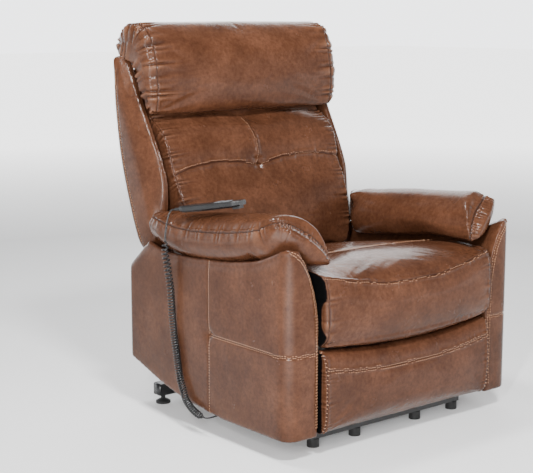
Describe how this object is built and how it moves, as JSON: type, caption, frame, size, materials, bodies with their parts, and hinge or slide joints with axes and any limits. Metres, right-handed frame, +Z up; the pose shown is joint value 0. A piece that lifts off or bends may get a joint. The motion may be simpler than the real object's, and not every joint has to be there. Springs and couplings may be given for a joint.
{
  "type": "lift recliner chair",
  "caption": "Upholstered power recliner on a tilting steel lift frame, with folding footrest, reclining back, pillow arms and a corded handset.",
  "frame": {"origin": "on the floor, under the middle of the chair's box at rest, measured without the handset cord", "axes": "+Z up, -Y the way the chair faces, +X to the sitter's left"},
  "size_m": [0.8657, 0.8868, 1.0832],
  "materials": {
    "leather": "semi-gloss mottled brown upholstery leather",
    "black_steel": "satin black powder coat",
    "bright_steel": "ground actuator rod",
    "black_plastic": "fine-textured black moulding",
    "grey_plastic": "soft grey keypad",
    "rubber": "matt black",
    "webbing": "woven black deck cloth"
  },
  "bodies": {
    "base": {"base_front_tube": "black_steel", "base_rear_tube": "black_steel", "base_rail_left": "black_steel", "base_rail_right": "black_steel", "front_foot_left_outer": "rubber", "front_foot_left_inner": "rubber", "front_foot_right_outer": "rubber", "front_foot_right_inner": "rubber", "rear_foot_left": "rubber", "rear_foot_right": "rubber"},
    "lift_arms": {"lift_arm_left": "black_steel", "lift_arm_right": "black_steel", "lift_torque_tube": "black_steel"},
    "lift_links": {"lift_link_left": "black_steel", "lift_link_right": "black_steel"},
    "lift_motor": {"lift_motor": "black_plastic"},
    "lift_rod": {"lift_rod": "bright_steel"},
    "chassis": {"chassis_rail_left": "black_steel", "chassis_rail_right": "black_steel", "chassis_front_tube": "black_steel", "chassis_rear_tube": "black_steel", "control_box": "black_plastic", "arm_panel_left": "leather", "arm_panel_right": "leather", "arm_pad_left": "leather", "arm_pad_right": "leather", "seat_deck": "webbing", "seat_cushion": "leather", "rear_apron": "leather", "handset_case": "black_plastic", "handset_strain_relief": "rubber", "handset_cord_straight": "black_plastic", "handset_cord_curled": "black_plastic", "handset_cord_lead": "black_plastic"},
    "backrest": {"back_upright_left": "black_steel", "back_upright_right": "black_steel", "back_crossbar": "black_steel", "back_cushion": "leather", "headrest_pillow": "leather", "back_wing_left": "leather", "back_wing_right": "leather", "back_outer_panel": "leather"},
    "back_motor": {"back_motor": "black_plastic"},
    "back_rod": {"back_rod": "bright_steel"},
    "footrest_drive": {"footrest_drive_link_left": "black_steel", "footrest_drive_link_right": "black_steel", "footrest_cross_shaft": "black_steel"},
    "footrest_follow": {"footrest_follow_link_left": "black_steel", "footrest_follow_link_right": "black_steel"},
    "footrest_long": {"footrest_long_link_left": "black_steel", "footrest_long_link_right": "black_steel"},
    "footrest_guide": {"footrest_guide_link_left": "black_steel", "footrest_guide_link_right": "black_steel"},
    "footrest": {"footrest_tray": "black_steel", "footrest_pad": "leather"},
    "button_lift_up": {"handset_button_lift_up": "grey_plastic"},
    "button_lift_down": {"handset_button_lift_down": "grey_plastic"},
    "button_back_up": {"handset_button_back_up": "grey_plastic"},
    "button_back_down": {"handset_button_back_down": "grey_plastic"}
  },
  "joints": [
    {"name": "lift", "type": "hinge", "parent": "base", "child": "lift_arms", "pos_m": [0, -0.23969, 0.16857], "axis": [1, 0, 0], "range_deg": [0, 51.24]},
    {"name": "chassis_tilt", "type": "hinge", "parent": "lift_arms", "child": "chassis", "pos_m": [0, 0.19973, 0.10486], "axis": [1, 0, 0], "range_deg": [-26.3, 0]},
    {"name": "lift_link_swing", "type": "hinge", "parent": "base", "child": "lift_links", "pos_m": [0, -0.30936, 0.14994], "axis": [1, 0, 0], "range_deg": [0, 59.7]},
    {"name": "lift_motor_tilt", "type": "hinge", "parent": "base", "child": "lift_motor", "pos_m": [0, 0.1308, 0.074], "axis": [1, 0, 0], "range_deg": [0, 1.4]},
    {"name": "lift_rod_slide", "type": "slide", "parent": "lift_motor", "child": "lift_rod", "axis": [0, -0.9138, 0.4062], "range_m": [0, 0.0557]},
    {"name": "backrest_recline", "type": "hinge", "parent": "chassis", "child": "backrest", "pos_m": [0, 0.17, 0.33], "axis": [1, 0, 0], "range_deg": [-45, 0]},
    {"name": "back_motor_tilt", "type": "hinge", "parent": "chassis", "child": "back_motor", "pos_m": [0, -0.1116, 0.2333], "axis": [1, 0, 0], "range_deg": [-2.6, 0]},
    {"name": "back_rod_slide", "type": "slide", "parent": "back_motor", "child": "back_rod", "axis": [0, 0.9987, 0.0506], "range_m": [-0.0706, 0]},
    {"name": "footrest_open", "type": "hinge", "parent": "chassis", "child": "footrest_drive", "pos_m": [0, -0.28906, 0.25321], "axis": [1, 0, 0], "range_deg": [-96.91, 0]},
    {"name": "footrest_follow_swing", "type": "hinge", "parent": "chassis", "child": "footrest_follow", "pos_m": [0, -0.23067, 0.2536], "axis": [1, 0, 0], "range_deg": [-96.6, 0]},
    {"name": "footrest_long_swing", "type": "hinge", "parent": "footrest_drive", "child": "footrest_long", "pos_m": [0, -0.20893, 0.08193], "axis": [1, 0, 0], "range_deg": [0, 94.9]},
    {"name": "footrest_guide_swing", "type": "hinge", "parent": "footrest_drive", "child": "footrest_guide", "pos_m": [0, -0.19899, 0.13093], "axis": [1, 0, 0], "range_deg": [0, 95.6]},
    {"name": "footrest_turn", "type": "hinge", "parent": "footrest_long", "child": "footrest", "pos_m": [0, -0.34489, 0.19445], "axis": [1, 0, 0], "range_deg": [-85, 0]},
    {"name": "press_lift_up", "type": "slide", "parent": "chassis", "child": "button_lift_up", "axis": [0.0567, -0.1387, -0.9887], "range_m": [0, 0.0015], "stiffness_N_per_m": 600, "springref_m": -0.0003},
    {"name": "press_lift_down", "type": "slide", "parent": "chassis", "child": "button_lift_down", "axis": [0.0567, -0.1387, -0.9887], "range_m": [0, 0.0015], "stiffness_N_per_m": 600, "springref_m": -0.0003},
    {"name": "press_back_up", "type": "slide", "parent": "chassis", "child": "button_back_up", "axis": [0.0567, -0.1387, -0.9887], "range_m": [0, 0.0015], "stiffness_N_per_m": 600, "springref_m": -0.0003},
    {"name": "press_back_down", "type": "slide", "parent": "chassis", "child": "button_back_down", "axis": [0.0567, -0.1387, -0.9887], "range_m": [0, 0.0015], "stiffness_N_per_m": 600, "springref_m": -0.0003}
  ],
  "couplings": [
    {"joint": "chassis_tilt", "follows": "lift", "ratio": -0.51214},
    {"joint": "lift_link_swing", "follows": "lift", "ratio": 1.1641},
    {"joint": "lift_motor_tilt", "follows": "lift", "ratio": 0.0257},
    {"joint": "lift_rod_slide", "follows": "lift", "m_per_rad": 0.0622},
    {"joint": "back_motor_tilt", "follows": "backrest_recline", "ratio": 0.0555},
    {"joint": "back_rod_slide", "follows": "backrest_recline", "m_per_rad": 0.08968},
    {"joint": "footrest_follow_swing", "follows": "footrest_open", "ratio": 0.9964},
    {"joint": "footrest_long_swing", "follows": "footrest_open", "ratio": -0.9782},
    {"joint": "footrest_guide_swing", "follows": "footrest_open", "ratio": -0.9858},
    {"joint": "footrest_turn", "follows": "footrest_open", "ratio": 0.8759}
  ]
}
